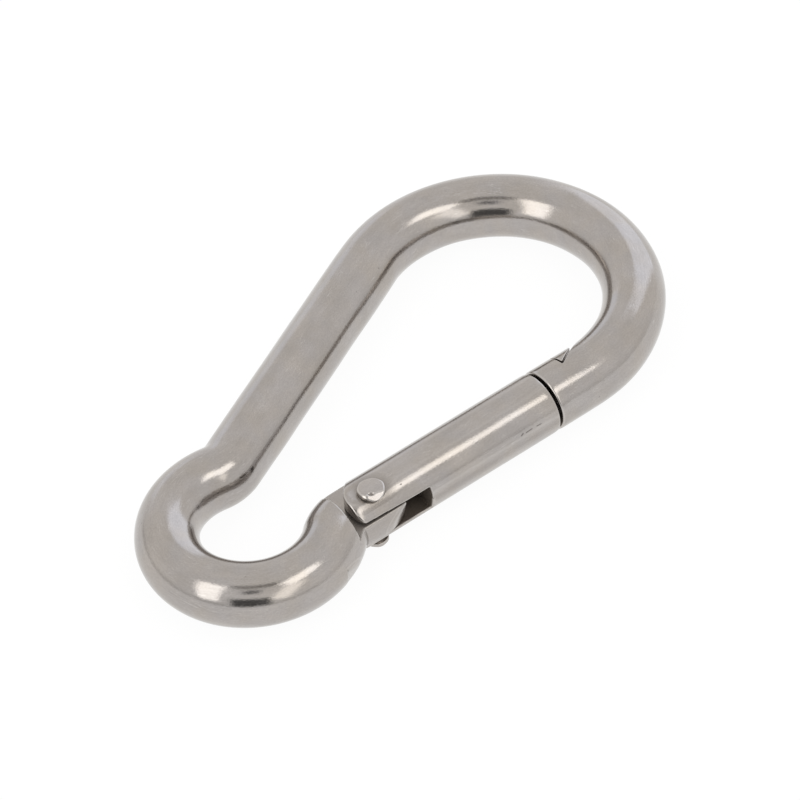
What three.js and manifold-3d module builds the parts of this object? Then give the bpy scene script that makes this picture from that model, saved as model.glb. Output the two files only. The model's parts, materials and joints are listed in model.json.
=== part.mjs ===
// Spring snap hook bent from round stainless bar, 100 mm size, lying flat.
//
// Millimetres, +Z up. The finished frame has +X along the load line, from the centre of the small eye to
// the centre of the large loop. Its origin is on that line, midway between the hook's two ends, at the
// height of the lower rivet head's flat face, which is the hook's lowest point.
//
// The pieces are shaped in the gate's own frame: +X along the gate from the hinge to the nose, +Y towards
// the inside of the hook, z = 0 in the hook's middle plane and x = 0 at the hinge rivet.

import * as THREE from 'three';
import * as BufferGeometryUtils from 'three/addons/utils/BufferGeometryUtils.js';
import Module from 'manifold-3d';

// ---- Driving dimensions ----

const BAR_RADIUS = 4.9;

// Centreline of the bent bar: a large loop and a small eye, joined by a straight back.
const LOOP_RADIUS = 21.2;
const LOOP_CENTRE_X = 40.2;
const EYE_RADIUS = 12.3;
const EYE_CENTRE = new THREE.Vector2(-15.6, 7.6);
const BACK_ANGLE = THREE.MathUtils.degToRad(26.3);
const NECK_RADIUS = 5.4;

// Hinge.
const PIVOT_Y = -1.27;
const RIVET_RADIUS = 1.5;
const RIVET_HEAD_RADIUS = 2.15;
const RIVET_FACE_RADIUS = 1.75;
const RIVET_HALF_LENGTH = 5.4;
const RIVET_HOLE_RADIUS = 1.6;
const HEAD_SEAT_Z = 4.55;
const HEAD_SEAT_RADIUS = 3.2;
const TANG_HALF_THICKNESS = 2.0;
const TANG_END_X = 3.92;
const TANG_BEVEL_X = 1.0;
const TANG_BEVEL_Y = -4.0;
const CAM_LEVER = 2.45;
const SHOULDER_X = -5.5;
const MAX_OPENING = THREE.MathUtils.degToRad(32);

// Gate.
const GATE_START_X = -4.1;
const GATE_END_X = 32.2;
const GATE_END_CHAMFER = 0.25;
const EAR_SLANT = THREE.MathUtils.degToRad(49.7);
const EAR_SLANT_Y = 0.3;
const EAR_SLANT_BLEND = 1.5;
const EAR_OUTER_CORNER = 2.4;
const SLOT_MOUTH_HALF_WIDTH = 2.42;
const SLOT_HALF_WIDTH = 2.12;
const SLOT_END_X = 6.5;
const WINDOW_END_X = 8.2;
const BORE_RADIUS = 2.06;
const BORE_END_X = 25;

// Latch: a thin tongue on the gate carries a cross-head that drops into a V notch in the nose.
const NOSE_END_X = 32.7;
const NOTCH_X = 36.95;
const NOTCH_FLOOR_Y = 0.63;
const NOTCH_FLOOR_WIDTH = 0.5;
const NOTCH_SLOPE = THREE.MathUtils.degToRad(34.2);
const HEAD_GAP = 0.3;
const HEAD_FOOT_Y = 1.03;
const HEAD_LEAN = 0.4;
const HEAD_END_X = 40.6;
const TONGUE_HALF_THICKNESS = 1.0;
const TONGUE_SIDE_GAP = 0.3;

// Plunger and return spring, hidden in the gate's bore.
const PLUNGER_GAP = 0.1;
const PLUNGER_RADIUS = 1.9;
const PLUNGER_HEAD_LENGTH = 5.4;
const PLUNGER_STEM_RADIUS = 0.9;
const PLUNGER_STEM_LENGTH = 7;
const SPRING_WIRE_RADIUS = 0.32;
const SPRING_COIL_RADIUS = 1.5;
const SPRING_END_GAP = 0.05;
const SPRING_TURNS = 10;
const SPRING_CLOSED_TURNS = 1.25;
const SPRING_CLOSED_PITCH = 0.72;

// Facets.
const BAR_SIDES = 24;
const BAR_STEPS = 112;
const ROUND_SIDES = 32;
const CAM_STEPS = 8;
const SPRING_SIDES = 8;
const SPRING_STEPS_PER_TURN = 14;

// ---- Solids from three.js geometry, joined and cut with manifold-3d ----

const wasm = await Module();
wasm.setup();

function solid(geometry) {
  geometry.deleteAttribute('normal');
  geometry.deleteAttribute('uv');
  const merged = BufferGeometryUtils.mergeVertices(geometry, 1e-4);
  return new wasm.Manifold(new wasm.Mesh({
    numProp: 3,
    vertProperties: Float32Array.from(merged.attributes.position.array),
    triVerts: Uint32Array.from(merged.index.array),
  }));
}

function box(x0, x1, y0, y1, z0, z1) {
  const geometry = new THREE.BoxGeometry(x1 - x0, y1 - y0, z1 - z0);
  return solid(geometry.translate((x0 + x1) / 2, (y0 + y1) / 2, (z0 + z1) / 2));
}

// A flat outline in the XY plane, from z0 up to z1.
function slab(shape, z0, z1) {
  const geometry = new THREE.ExtrudeGeometry(shape, { depth: z1 - z0, bevelEnabled: false });
  return solid(geometry.translate(0, 0, z0));
}

// A profile of [x, radius] points turned about the gate's axis.
function turnedAboutX(profile) {
  const points = profile.map(([x, radius]) => new THREE.Vector2(radius, x));
  return solid(new THREE.LatheGeometry(points, ROUND_SIDES).rotateZ(-Math.PI / 2));
}

// A profile of [radius, z] points turned about the rivet's axis.
function turnedAboutRivet(profile) {
  const points = profile.map(([radius, z]) => new THREE.Vector2(radius, z));
  return solid(new THREE.LatheGeometry(points, ROUND_SIDES).rotateX(Math.PI / 2).translate(0, PIVOT_Y, 0));
}

function rivetCylinder(radius, z0, z1) {
  return turnedAboutRivet([[0, z0], [radius, z0], [radius, z1], [0, z1]]);
}

function mesh(name, piece, look) {
  const { vertProperties, triVerts } = piece.getMesh();
  const geometry = new THREE.BufferGeometry();
  geometry.setAttribute('position', new THREE.BufferAttribute(Float32Array.from(vertProperties), 3));
  geometry.setIndex(new THREE.BufferAttribute(Uint32Array.from(triVerts), 1));
  geometry.computeVertexNormals();
  const part = new THREE.Mesh(geometry, new THREE.MeshStandardMaterial(look));
  part.name = name;
  return part;
}

// ---- Body: the bent bar, from the nose round the loop, back and eye to the hinge tang ----

// An arc of the centreline tangent to a straight line or circle on one side and to the eye on the other
// turns through the angle whose cosine is (near + neck) / (eye + neck), where near is the distance from
// the eye's centre to the line that the arc joins.
function neckTurn(near) {
  return Math.acos((near + NECK_RADIUS) / (EYE_RADIUS + NECK_RADIUS));
}

function centreline() {
  const backStart = new THREE.Vector2(
    LOOP_CENTRE_X - LOOP_RADIUS * Math.sin(BACK_ANGLE),
    LOOP_RADIUS + LOOP_RADIUS * Math.cos(BACK_ANGLE),
  );
  const along = new THREE.Vector2(-Math.cos(BACK_ANGLE), -Math.sin(BACK_ANGLE));
  const inward = new THREE.Vector2(-along.y, along.x);
  const toEye = EYE_CENTRE.clone().sub(backStart);
  const backTurn = neckTurn(toEye.dot(inward));
  const hingeTurn = neckTurn(EYE_CENTRE.y);
  const reach = EYE_RADIUS + NECK_RADIUS;
  const backLength = toEye.dot(along) - reach * Math.sin(backTurn);
  const neck = backStart.clone().addScaledVector(along, backLength).addScaledVector(inward, -NECK_RADIUS);
  const inwardAngle = Math.atan2(inward.y, inward.x);
  const eyeStart = inwardAngle - backTurn + Math.PI;
  const eyeEnd = hingeTurn - Math.PI / 2 + 2 * Math.PI;

  const path = new THREE.Path();
  path.moveTo(NOSE_END_X, 0);
  path.lineTo(LOOP_CENTRE_X, 0);
  path.absarc(LOOP_CENTRE_X, LOOP_RADIUS, LOOP_RADIUS, -Math.PI / 2, Math.PI / 2 + BACK_ANGLE, false);
  path.lineTo(neck.x + NECK_RADIUS * inward.x, neck.y + NECK_RADIUS * inward.y);
  path.absarc(neck.x, neck.y, NECK_RADIUS, inwardAngle, inwardAngle - backTurn, true);
  path.absarc(EYE_CENTRE.x, EYE_CENTRE.y, EYE_RADIUS, eyeStart, eyeEnd, false);
  path.absarc(
    EYE_CENTRE.x + reach * Math.sin(hingeTurn),
    -NECK_RADIUS,
    NECK_RADIUS,
    Math.PI / 2 + hingeTurn,
    Math.PI / 2,
    true,
  );
  path.lineTo(SLOT_END_X, 0);
  return path;
}

// A path in the XY plane as a curve in space.
class FlatCurve extends THREE.Curve {
  constructor(path) {
    super();
    this.path = path;
  }

  getPoint(t, target = new THREE.Vector3()) {
    const point = this.path.getPoint(t);
    return target.set(point.x, point.y, 0);
  }
}

function tube(curve, radius, sides, steps) {
  const section = new THREE.Shape().absarc(0, 0, radius, 0, 2 * Math.PI, false);
  const options = { extrudePath: curve, steps, curveSegments: sides / 2, bevelEnabled: false };
  return solid(new THREE.ExtrudeGeometry(section, options));
}

// Where the notch's slope, or a line the gap above it, reaches the height y.
function slopePoint(y, gap) {
  const rise = y - NOTCH_FLOOR_Y - gap / Math.cos(NOTCH_SLOPE);
  return new THREE.Vector2(NOTCH_X + NOTCH_FLOOR_WIDTH + rise / Math.tan(NOTCH_SLOPE), y);
}

// The notch across the nose: a square side, a narrow floor and a slope.
function notchOutline() {
  const top = 2 * BAR_RADIUS;
  return new THREE.Shape([
    new THREE.Vector2(NOTCH_X, NOTCH_FLOOR_Y),
    slopePoint(NOTCH_FLOOR_Y, 0),
    slopePoint(top, 0),
    new THREE.Vector2(NOTCH_X, top),
  ]);
}

// The cross-head that lies in the notch. Its square side leans away from the notch's by HEAD_LEAN, so that
// it clears the nose as the gate swings, and its tip is cut off square.
function headOutline() {
  const top = BAR_RADIUS;
  const foot = slopePoint(HEAD_FOOT_Y, HEAD_GAP);
  const tipY = foot.y + (HEAD_END_X - foot.x) * Math.tan(NOTCH_SLOPE);
  return new THREE.Shape([
    new THREE.Vector2(NOTCH_X + HEAD_GAP / 2 + HEAD_LEAN, foot.y),
    foot,
    new THREE.Vector2(HEAD_END_X, tipY),
    new THREE.Vector2(HEAD_END_X, top),
    new THREE.Vector2(NOTCH_X + HEAD_GAP / 2, top),
  ]);
}

// Everything beyond the tang's end: a bevel on the outer side, then an involute, so that a flat plunger
// face square to the gate is pushed back by CAM_LEVER times the angle that the gate has turned.
function beyondTang() {
  const far = 2 * BAR_RADIUS;
  const points = [
    new THREE.Vector2(TANG_BEVEL_X, -far),
    new THREE.Vector2(TANG_BEVEL_X, -BAR_RADIUS),
    new THREE.Vector2(TANG_END_X, TANG_BEVEL_Y),
  ];
  for (let i = 0; i <= CAM_STEPS; i += 1) {
    const angle = (MAX_OPENING * 1.1 * i) / CAM_STEPS;
    const reach = TANG_END_X + CAM_LEVER * angle;
    points.push(new THREE.Vector2(
      reach * Math.cos(angle) - CAM_LEVER * Math.sin(angle),
      PIVOT_Y + reach * Math.sin(angle) + CAM_LEVER * Math.cos(angle),
    ));
  }
  points.push(new THREE.Vector2(points.at(-1).x, far));
  points.push(new THREE.Vector2(far, far));
  points.push(new THREE.Vector2(far, -far));
  return new THREE.Shape(points);
}

function bodySolid() {
  const wide = BAR_RADIUS + 1;
  const tongueHalf = TONGUE_HALF_THICKNESS + TONGUE_SIDE_GAP;
  return tube(new FlatCurve(centreline()), BAR_RADIUS, BAR_SIDES, BAR_STEPS)
    .subtract(box(SHOULDER_X, SLOT_END_X + 1, -wide, wide, TANG_HALF_THICKNESS, wide))
    .subtract(box(SHOULDER_X, SLOT_END_X + 1, -wide, wide, -wide, -TANG_HALF_THICKNESS))
    .subtract(slab(beyondTang(), -wide, wide))
    .subtract(rivetCylinder(RIVET_HOLE_RADIUS, -wide, wide))
    .subtract(slab(notchOutline(), -wide, wide))
    .subtract(box(NOSE_END_X - 1, NOTCH_X + 0.1, NOTCH_FLOOR_Y, wide, -tongueHalf, tongueHalf));
}

// ---- Gate: a round bar with a forked hinge end, a blind bore, and the latch tongue ----

// Plan of the gate: at the hinge end the inner corner is slanted and the outer one rounded.
function gatePlan() {
  const edge = BAR_RADIUS + 1;
  const slantX = (y) => GATE_START_X + (y - EAR_SLANT_Y) / Math.tan(EAR_SLANT);
  const blendY = EAR_SLANT_Y + EAR_SLANT_BLEND * Math.sin(EAR_SLANT);
  const plan = new THREE.Shape();
  plan.moveTo(GATE_END_X + 1, -edge);
  plan.lineTo(GATE_END_X + 1, edge);
  plan.lineTo(slantX(edge), edge);
  plan.lineTo(slantX(blendY), blendY);
  plan.quadraticCurveTo(GATE_START_X, EAR_SLANT_Y, GATE_START_X, EAR_SLANT_Y - EAR_SLANT_BLEND);
  plan.lineTo(GATE_START_X, EAR_OUTER_CORNER - BAR_RADIUS);
  plan.absarc(GATE_START_X + EAR_OUTER_CORNER, EAR_OUTER_CORNER - BAR_RADIUS, EAR_OUTER_CORNER,
    Math.PI, 1.5 * Math.PI, false);
  plan.lineTo(GATE_START_X + EAR_OUTER_CORNER, -edge);
  return plan;
}

// The slot between the ears, slightly wider at its mouth.
function hingeSlot() {
  const start = GATE_START_X - 1;
  const section = new THREE.Shape([
    new THREE.Vector2(start, -SLOT_MOUTH_HALF_WIDTH),
    new THREE.Vector2(SLOT_END_X, -SLOT_HALF_WIDTH),
    new THREE.Vector2(SLOT_END_X, SLOT_HALF_WIDTH),
    new THREE.Vector2(start, SLOT_MOUTH_HALF_WIDTH),
  ]);
  return slab(section, -BAR_RADIUS - 1, BAR_RADIUS + 1).rotate([90, 0, 0]);
}

function latchTongue() {
  const radius = BAR_RADIUS - 0.1;
  const farX = LOOP_CENTRE_X + LOOP_RADIUS / 2;
  const headRound = turnedAboutX([[GATE_END_X - 2, 0], [GATE_END_X - 2, radius], [farX, radius], [farX, 0]]);
  const half = TONGUE_HALF_THICKNESS;
  const tongue = box(GATE_END_X - 1, NOTCH_X + HEAD_LEAN + 0.2, HEAD_FOOT_Y, BAR_RADIUS, -half, half);
  return tongue.add(slab(headOutline(), -BAR_RADIUS, BAR_RADIUS)).intersect(headRound);
}

function gateSolid() {
  const wide = BAR_RADIUS + 1;
  const bar = turnedAboutX([
    [GATE_START_X, 0],
    [GATE_START_X, BAR_RADIUS],
    [GATE_END_X - GATE_END_CHAMFER, BAR_RADIUS],
    [GATE_END_X, BAR_RADIUS - GATE_END_CHAMFER],
    [GATE_END_X, 0],
  ]);
  const bore = turnedAboutX([
    [GATE_START_X - 1, 0],
    [GATE_START_X - 1, BORE_RADIUS],
    [BORE_END_X, BORE_RADIUS],
    [BORE_END_X + BORE_RADIUS / 2, 0],
  ]);
  return bar
    .intersect(slab(gatePlan(), -wide, wide))
    .subtract(hingeSlot())
    .subtract(box(SLOT_END_X - 1, WINDOW_END_X, -wide, 0, -SLOT_HALF_WIDTH, SLOT_HALF_WIDTH))
    .subtract(bore)
    .subtract(rivetCylinder(RIVET_HOLE_RADIUS, -wide, wide))
    .subtract(rivetCylinder(HEAD_SEAT_RADIUS, HEAD_SEAT_Z, wide))
    .subtract(rivetCylinder(HEAD_SEAT_RADIUS, -wide, -HEAD_SEAT_Z))
    .add(latchTongue());
}

// ---- Hinge rivet: a pin with both ends hammered over into low, round-edged heads ----

function rivetSolid() {
  const face = RIVET_HALF_LENGTH;
  const under = HEAD_SEAT_Z + 0.06;
  const rim = (under + face) / 2;
  const upper = [
    [RIVET_RADIUS, under],
    [RIVET_HEAD_RADIUS, under + 0.05],
    [RIVET_HEAD_RADIUS, rim],
    [RIVET_FACE_RADIUS + 0.25, face - 0.1],
    [RIVET_FACE_RADIUS, face],
  ];
  const lower = upper.map(([radius, z]) => [radius, -z]).reverse();
  return turnedAboutRivet([[0, -face], ...lower, ...upper, [0, face]]);
}

// ---- Plunger: its flat face rides on the tang's end, its stem keeps the spring straight ----

const PLUNGER_FACE_X = TANG_END_X + PLUNGER_GAP;
const PLUNGER_BACK_X = PLUNGER_FACE_X + PLUNGER_HEAD_LENGTH;

function plungerSolid() {
  const stemEnd = PLUNGER_BACK_X + PLUNGER_STEM_LENGTH;
  const edge = 0.2;
  return turnedAboutX([
    [PLUNGER_FACE_X, 0],
    [PLUNGER_FACE_X, PLUNGER_RADIUS - edge],
    [PLUNGER_FACE_X + edge, PLUNGER_RADIUS],
    [PLUNGER_BACK_X, PLUNGER_RADIUS],
    [PLUNGER_BACK_X, PLUNGER_STEM_RADIUS],
    [stemEnd - edge, PLUNGER_STEM_RADIUS],
    [stemEnd, PLUNGER_STEM_RADIUS - edge],
    [stemEnd, 0],
  ]);
}

// ---- Return spring: a compression spring with closed end coils, between plunger and bore end ----

class SpringCurve extends THREE.Curve {
  constructor(startX, endX) {
    super();
    this.startX = startX;
    this.endX = endX;
  }

  getPoint(t, target = new THREE.Vector3()) {
    const turn = t * SPRING_TURNS;
    const closed = SPRING_CLOSED_TURNS * SPRING_CLOSED_PITCH;
    const openTurns = SPRING_TURNS - 2 * SPRING_CLOSED_TURNS;
    const openPitch = (this.endX - this.startX - 2 * closed) / openTurns;
    const inFirst = Math.min(turn, SPRING_CLOSED_TURNS);
    const inLast = Math.max(turn - SPRING_TURNS + SPRING_CLOSED_TURNS, 0);
    const x = this.startX + (inFirst + inLast) * SPRING_CLOSED_PITCH + (turn - inFirst - inLast) * openPitch;
    const angle = turn * 2 * Math.PI;
    return target.set(x, SPRING_COIL_RADIUS * Math.cos(angle), SPRING_COIL_RADIUS * Math.sin(angle));
  }
}

function springSolid() {
  const inset = SPRING_WIRE_RADIUS + SPRING_END_GAP;
  const curve = new SpringCurve(PLUNGER_BACK_X + inset, BORE_END_X - inset);
  return tube(curve, SPRING_WIRE_RADIUS, SPRING_SIDES, SPRING_TURNS * SPRING_STEPS_PER_TURN);
}

// ---- Assembly, turned so that the load line lies along +X ----

const pieces = [
  mesh('body', bodySolid(), { color: 0xa8a29c, roughness: 0.3, metalness: 1 }),
  mesh('gate', gateSolid(), { color: 0xaca6a0, roughness: 0.3, metalness: 1 }),
  mesh('hinge_rivet', rivetSolid(), { color: 0xb0aaa4, roughness: 0.28, metalness: 1 }),
  mesh('plunger', plungerSolid(), { color: 0x6f665c, roughness: 0.45, metalness: 1 }),
  mesh('return_spring', springSolid(), { color: 0x8f8c88, roughness: 0.35, metalness: 1 }),
];

const loadLine = new THREE.Vector2(LOOP_CENTRE_X, LOOP_RADIUS).sub(EYE_CENTRE);
const overallLength = loadLine.length() + LOOP_RADIUS + EYE_RADIUS + 2 * BAR_RADIUS;
const eyeFromMiddle = overallLength / 2 - EYE_RADIUS - BAR_RADIUS;
const aboutEye = new THREE.Group();
aboutEye.add(...pieces);
aboutEye.position.set(-EYE_CENTRE.x, -EYE_CENTRE.y, 0);

const turned = new THREE.Group();
turned.add(aboutEye);
turned.rotation.z = -loadLine.angle();
turned.position.set(-eyeFromMiddle, 0, RIVET_HALF_LENGTH);

const snapHook = new THREE.Group();
snapHook.add(turned);

export default snapHook;
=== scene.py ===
"""Spring snap hook of round stainless bar, lying flat on a pale studio floor.

Each piece but the spring is a rounded solid described by its distance field: a function that is negative
inside the steel, zero on its surface and positive outside, in millimetres. The field is sampled on a
grid, its surface is covered with quads, and every corner is then moved onto the surface, so rounded
edges, dents and the slight waviness of the polished steel are all real geometry. The spring is a wire
swept along its helix.

The shapes are worked out in the gate's own frame, as in the CAD model: +X along the gate from the hinge
to the nose, +Y towards the inside of the hook, z = 0 in the middle plane and x = 0 at the hinge rivet.
"""

import json
import math

import bpy
import numpy as np
from mathutils import Matrix, Vector


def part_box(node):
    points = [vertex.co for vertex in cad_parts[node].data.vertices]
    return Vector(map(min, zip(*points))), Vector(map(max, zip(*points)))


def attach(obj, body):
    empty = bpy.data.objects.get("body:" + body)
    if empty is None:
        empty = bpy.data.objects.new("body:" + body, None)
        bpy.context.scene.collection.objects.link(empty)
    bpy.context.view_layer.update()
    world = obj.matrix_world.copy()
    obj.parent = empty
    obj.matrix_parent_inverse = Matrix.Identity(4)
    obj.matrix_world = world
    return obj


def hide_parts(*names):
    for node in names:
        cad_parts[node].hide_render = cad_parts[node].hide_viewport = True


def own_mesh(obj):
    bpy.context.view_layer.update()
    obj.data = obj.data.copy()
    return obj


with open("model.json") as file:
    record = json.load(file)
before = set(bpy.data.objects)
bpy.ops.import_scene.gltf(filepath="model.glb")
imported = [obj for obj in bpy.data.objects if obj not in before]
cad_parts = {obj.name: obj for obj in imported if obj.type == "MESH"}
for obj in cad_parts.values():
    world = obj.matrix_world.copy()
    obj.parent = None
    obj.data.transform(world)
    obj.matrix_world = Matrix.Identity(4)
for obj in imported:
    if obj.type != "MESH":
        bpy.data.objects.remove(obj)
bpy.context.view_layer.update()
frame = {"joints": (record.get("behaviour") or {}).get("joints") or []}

# ---- The gate's frame, from the CAD model's joints ----

MM = 0.001
PIVOT_Y = -1.27

joints = {joint["name"]: joint for joint in frame["joints"]}
GATE_DIRECTION = np.array(joints["plunger_slide"]["axis"], float)
INWARD_DIRECTION = np.array([-GATE_DIRECTION[1], GATE_DIRECTION[0], 0])
PIVOT = np.array(joints["gate_hinge"]["pos_m"], float)
GATE_ORIGIN = PIVOT - PIVOT_Y * MM * INWARD_DIRECTION


def in_row_frame(points):
    """Points in the gate's frame, in millimetres, as points in the CAD model's frame, in metres."""
    turn = np.array([GATE_DIRECTION, INWARD_DIRECTION, [0, 0, 1]])
    return np.asarray(points) @ turn * MM + GATE_ORIGIN


# ---- Sizes, in millimetres ----

body_low, body_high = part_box("body")
BAR_RADIUS = (body_high.z - body_low.z) / 2 / MM
SKIN = 0.03
STEEL_RADIUS = BAR_RADIUS - SKIN
FLATTENING = 0.02
BEND_BLEND = 2.0

LOOP_RADIUS = 21.2
LOOP_CENTRE_X = 40.2
EYE_RADIUS = 12.3
EYE_CENTRE = np.array([-15.6, 7.6])
BACK_ANGLE = math.radians(26.3)
NECK_RADIUS = 5.4

RIVET_RADIUS = 1.5
UPPER_HEAD_RADIUS = 2.14
LOWER_HEAD_RADIUS = 2.02
RIVET_HALF_LENGTH = 5.4
RIVET_HOLE_RADIUS = 1.6
HEAD_SEAT_Z = 4.55
HEAD_SEAT_RADIUS = 3.2
TANG_HALF_THICKNESS = 2.0
TANG_END_X = 3.92
CAM_LEVER = 2.45
SHOULDER_X = -5.5
TANG_BEVEL_X = 0.8
TANG_BEVEL_Y = -4.87
TANG_BEVEL_RISE = 0.32
TANG_BEVEL_LEAN = 0.22
TANG_BEVEL_STEEPNESS = 1.07
MAX_OPENING = math.radians(32)

GATE_START_X = -4.1
GATE_END_X = 32.2
EAR_SLANT = math.radians(49.7)
EAR_SLANT_Y = 0.3
EAR_OUTER_CORNER = 2.4
SLOT_MOUTH_HALF_WIDTH = 2.42
SLOT_HALF_WIDTH = 2.12
SLOT_END_X = 6.5
WINDOW_END_X = 8.2
BORE_RADIUS = 2.06
BORE_END_X = 25.0

NOSE_END_X = 32.7
NOTCH_X = 36.95
NOTCH_FLOOR_Y = 0.63
NOTCH_FLOOR_WIDTH = 0.5
NOTCH_SLOPE = math.radians(34.2)
HEAD_GAP = 0.3
HEAD_END_X = 40.6
TONGUE_HALF_THICKNESS = 1.0
TONGUE_SIDE_GAP = 0.3

PLUNGER_FACE_X = 4.02
PLUNGER_RADIUS = 1.9
PLUNGER_HEAD_LENGTH = 5.4
PLUNGER_STEM_RADIUS = 0.9
PLUNGER_STEM_LENGTH = 7.0
SPRING_WIRE_RADIUS = 0.32
SPRING_COIL_RADIUS = 1.5
SPRING_END_GAP = 0.05
SPRING_TURNS = 10
SPRING_CLOSED_TURNS = 1.25
SPRING_CLOSED_PITCH = 0.72

# Where each turned piece lies on the straight bar that the materials are laid out on.
PLUNGER_PLACE = 60
RIVET_PLACE = 90
GATE_PLACE = 140.0

# ---- The bent bar ----


def line_piece(start, heading, length):
    """A straight stretch of a path, as a function that places points beside it."""
    def locate(x, y):
        along = np.clip((x - start[0]) * heading[0] + (y - start[1]) * heading[1], 0, length)
        dx = x - start[0] - along * heading[0]
        dy = y - start[1] - along * heading[1]
        return np.hypot(dx, dy), along, heading[0] * dy - heading[1] * dx
    return locate, length, 0


def arc_piece(centre, radius, start_angle, turn):
    """A round stretch of a path. The turn is positive to the left."""
    sign = math.copysign(1, turn)
    sweep = abs(turn)

    def locate(x, y):
        dx = x - centre[0]
        dy = y - centre[1]
        angle = sign * (np.arctan2(dy, dx) - start_angle)
        middle = sweep / 2
        angle = (angle - middle + math.pi) % (2 * math.pi) - math.pi + middle
        angle = np.clip(angle, 0, sweep)
        px = radius * np.cos(start_angle + sign * angle)
        py = radius * np.sin(start_angle + sign * angle)
        return np.hypot(dx - px, dy - py), angle * radius, sign * (radius - np.hypot(dx, dy))
    return locate, radius * sweep, 1


def neck_turn(near):
    """How far the bar turns between the eye and a line that passes near its centre."""
    return math.acos((near + NECK_RADIUS) / (EYE_RADIUS + NECK_RADIUS))


def bar_path():
    """The centreline of the bent bar, from the nose round the loop, back and eye to the tang."""
    along = np.array([-math.cos(BACK_ANGLE), -math.sin(BACK_ANGLE)])
    inward = np.array([-along[1], along[0]])
    back_start = np.array([LOOP_CENTRE_X, LOOP_RADIUS]) - LOOP_RADIUS * inward
    to_eye = EYE_CENTRE - back_start
    back_turn = neck_turn(to_eye @ inward)
    hinge_turn = neck_turn(EYE_CENTRE[1])
    reach = EYE_RADIUS + NECK_RADIUS
    back_length = to_eye @ along - reach * math.sin(back_turn)
    neck = back_start + back_length * along - NECK_RADIUS * inward
    inward_angle = math.atan2(inward[1], inward[0])
    eye_start = inward_angle - back_turn + math.pi
    eye_end = hinge_turn - math.pi / 2 + 2 * math.pi
    hinge_neck = (EYE_CENTRE[0] + reach * math.sin(hinge_turn), -NECK_RADIUS)
    nose_start = NOSE_END_X - 2
    return [
        line_piece((nose_start, 0), (1, 0), LOOP_CENTRE_X - nose_start),
        arc_piece((LOOP_CENTRE_X, LOOP_RADIUS), LOOP_RADIUS, -math.pi / 2, math.pi + BACK_ANGLE),
        line_piece(back_start, along, back_length),
        arc_piece(neck, NECK_RADIUS, inward_angle, -back_turn),
        arc_piece(EYE_CENTRE, EYE_RADIUS, eye_start, eye_end - eye_start),
        arc_piece(hinge_neck, NECK_RADIUS, math.pi / 2 + hinge_turn, -hinge_turn),
        line_piece((hinge_neck[0], 0), (1, 0), SLOT_END_X - hinge_neck[0]),
    ]


BAR_PATH = bar_path()


def unbend(x, y):
    """Each point's distance from the bar's centreline, its place along it, its side and the bend there."""
    distance = np.full(np.broadcast(x, y).shape, np.inf)
    along = np.zeros_like(distance)
    side = np.zeros_like(distance)
    knots = []
    bends = []
    covered = 0.0
    for locate, length, bend in BAR_PATH:
        piece_distance, piece_along, piece_side = locate(x, y)
        nearer = piece_distance < distance
        distance = np.where(nearer, piece_distance, distance)
        along = np.where(nearer, covered + piece_along, along)
        side = np.where(nearer, piece_side, side)
        blend = min(BEND_BLEND, length / 2)
        knots += [covered + blend, covered + length - blend]
        bends += [bend, bend]
        covered += length
    return distance, along, side, np.interp(along, knots, bends)


class Waves:
    """The slight unevenness of a polished surface: a sum of shallow waves, a little longer along the bar."""

    def __init__(self, seed, amplitude, shortest, longest, count=14):
        random = np.random.default_rng(seed)
        direction = random.normal(size=(count, 3)) * [0.75, 1, 1]
        direction /= np.linalg.norm(direction, axis=1)[:, None]
        wavelength = random.uniform(shortest, longest, count)
        self.vectors = direction * (2 * math.pi / wavelength)[:, None]
        self.phases = random.uniform(0, 2 * math.pi, count)
        self.amplitude = amplitude * math.sqrt(2 / count)

    def height(self, u, v, w):
        """The height of the waves at points given by their place along, beside and above the bar."""
        total = 0
        for vector, phase in zip(self.vectors, self.phases):
            total = total + np.sin(vector[0] * u + vector[1] * v + vector[2] * w + phase)
        return total * self.amplitude


# ---- Distance fields ----

# The last number in each call of round_max or round_min is the radius of an edge or a fillet.


def round_max(a, b, radius):
    """Where two solids overlap, with the edge between their surfaces rounded to the radius."""
    corner = np.hypot(np.maximum(a + radius, 0), np.maximum(b + radius, 0))
    return np.minimum(np.maximum(a, b), -radius) + corner


def round_min(a, b, radius):
    """Two solids joined, with a fillet of the radius where their surfaces meet."""
    return -round_max(-a, -b, radius)


BODY_WAVES = Waves(seed=3, amplitude=0.012, shortest=5, longest=16)
GATE_WAVES = Waves(seed=8, amplitude=0.006, shortest=5, longest=14)


def beyond_cam(x, y):
    """Positive beyond the tang's end, an involute that pushes the plunger back as the gate opens."""
    py = y - PIVOT_Y
    reach = np.hypot(x, py)
    lead = np.arcsin(np.minimum(CAM_LEVER / np.maximum(reach, CAM_LEVER), 1))
    turn = np.arctan2(py, x)
    opening = np.clip(turn - lead, 0, MAX_OPENING * 1.1)
    return reach * np.cos(turn - opening) - TANG_END_X - CAM_LEVER * opening


def notch_slope(x, y, gap):
    """Positive below the notch's sloping side, or below a line the gap above it."""
    rise = (x - NOTCH_X - NOTCH_FLOOR_WIDTH) * math.tan(NOTCH_SLOPE)
    return (NOTCH_FLOOR_Y + rise - y) * math.cos(NOTCH_SLOPE) + gap


def tang_bevel(x, y, z):
    """Positive where the outer corner of the tang's end is ground away, deeper on the lower side."""
    bevel_y = TANG_BEVEL_Y + TANG_BEVEL_RISE * (x - TANG_BEVEL_X) - TANG_BEVEL_LEAN * z
    return (bevel_y - y) / TANG_BEVEL_STEEPNESS


def outside_hinge(x, y):
    """Positive away from the hinge, to keep the cuts made there off the rest of the bent bar."""
    middle_x, half_length, half_width = 5, 15, 11
    return np.maximum(np.abs(y) - half_width, np.abs(x - middle_x) - half_length)


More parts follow.
